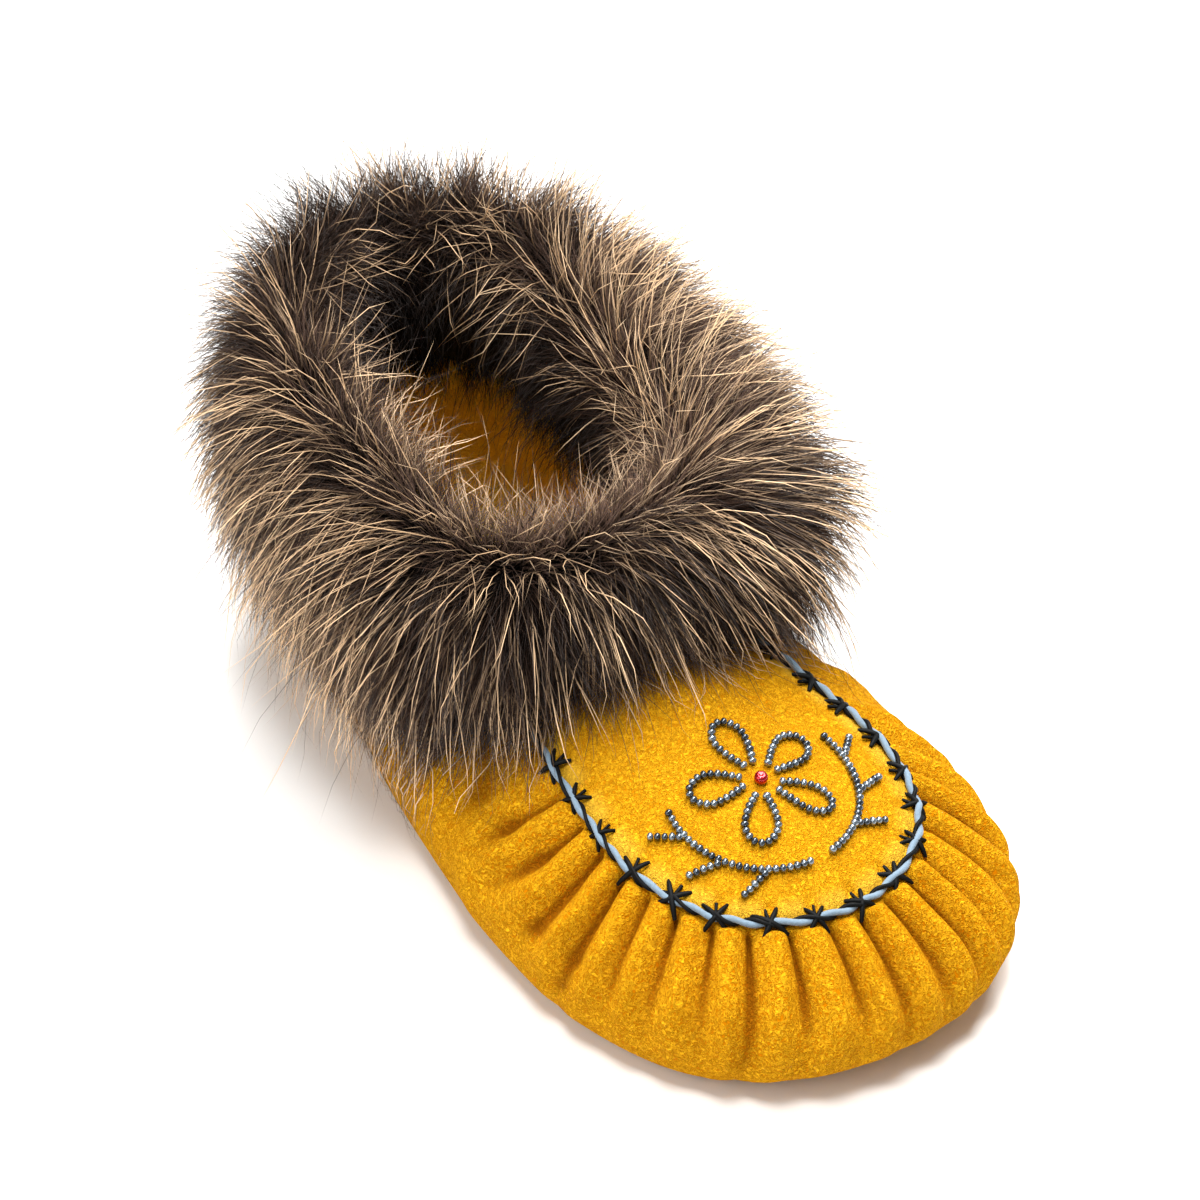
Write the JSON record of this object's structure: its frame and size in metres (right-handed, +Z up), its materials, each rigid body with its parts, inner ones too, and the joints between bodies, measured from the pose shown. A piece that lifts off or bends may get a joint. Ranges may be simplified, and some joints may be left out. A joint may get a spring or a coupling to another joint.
{
  "type": "fur-trimmed moccasin",
  "caption": "Soft-soled hide moccasin for the right foot with a gathered toe, corded and beaded vamp and a deep fur cuff round the collar.",
  "frame": {"origin": "middle of the flat part of the sole, on the floor", "axes": "+Z up, -Y towards the toe, +X towards the wearer's other foot"},
  "size_m": [0.166, 0.2632, 0.1227],
  "materials": {
    "hide": "mustard suede with a short nap",
    "vamp_hide": "mustard suede with a short nap",
    "insole_hide": "mustard suede",
    "fur": "deep grey-brown fur with tan guard hairs",
    "cord": "twisted cord, pale blue-grey and black",
    "steel_beads": "glossy steel-coloured glass beads",
    "red_bead": "glossy red glass bead"
  },
  "bodies": {
    "root": {"sole_and_sides": "hide", "vamp": "vamp_hide", "insole": "insole_hide", "fur_cuff": "fur", "seam_cord": "cord", "centre_bead": "red_bead", "petal_1": "steel_beads", "petal_2": "steel_beads", "petal_3": "steel_beads", "petal_4": "steel_beads", "petal_5": "steel_beads", "sprig_right": "steel_beads", "sprig_left": "steel_beads"}
  },
  "joints": []
}
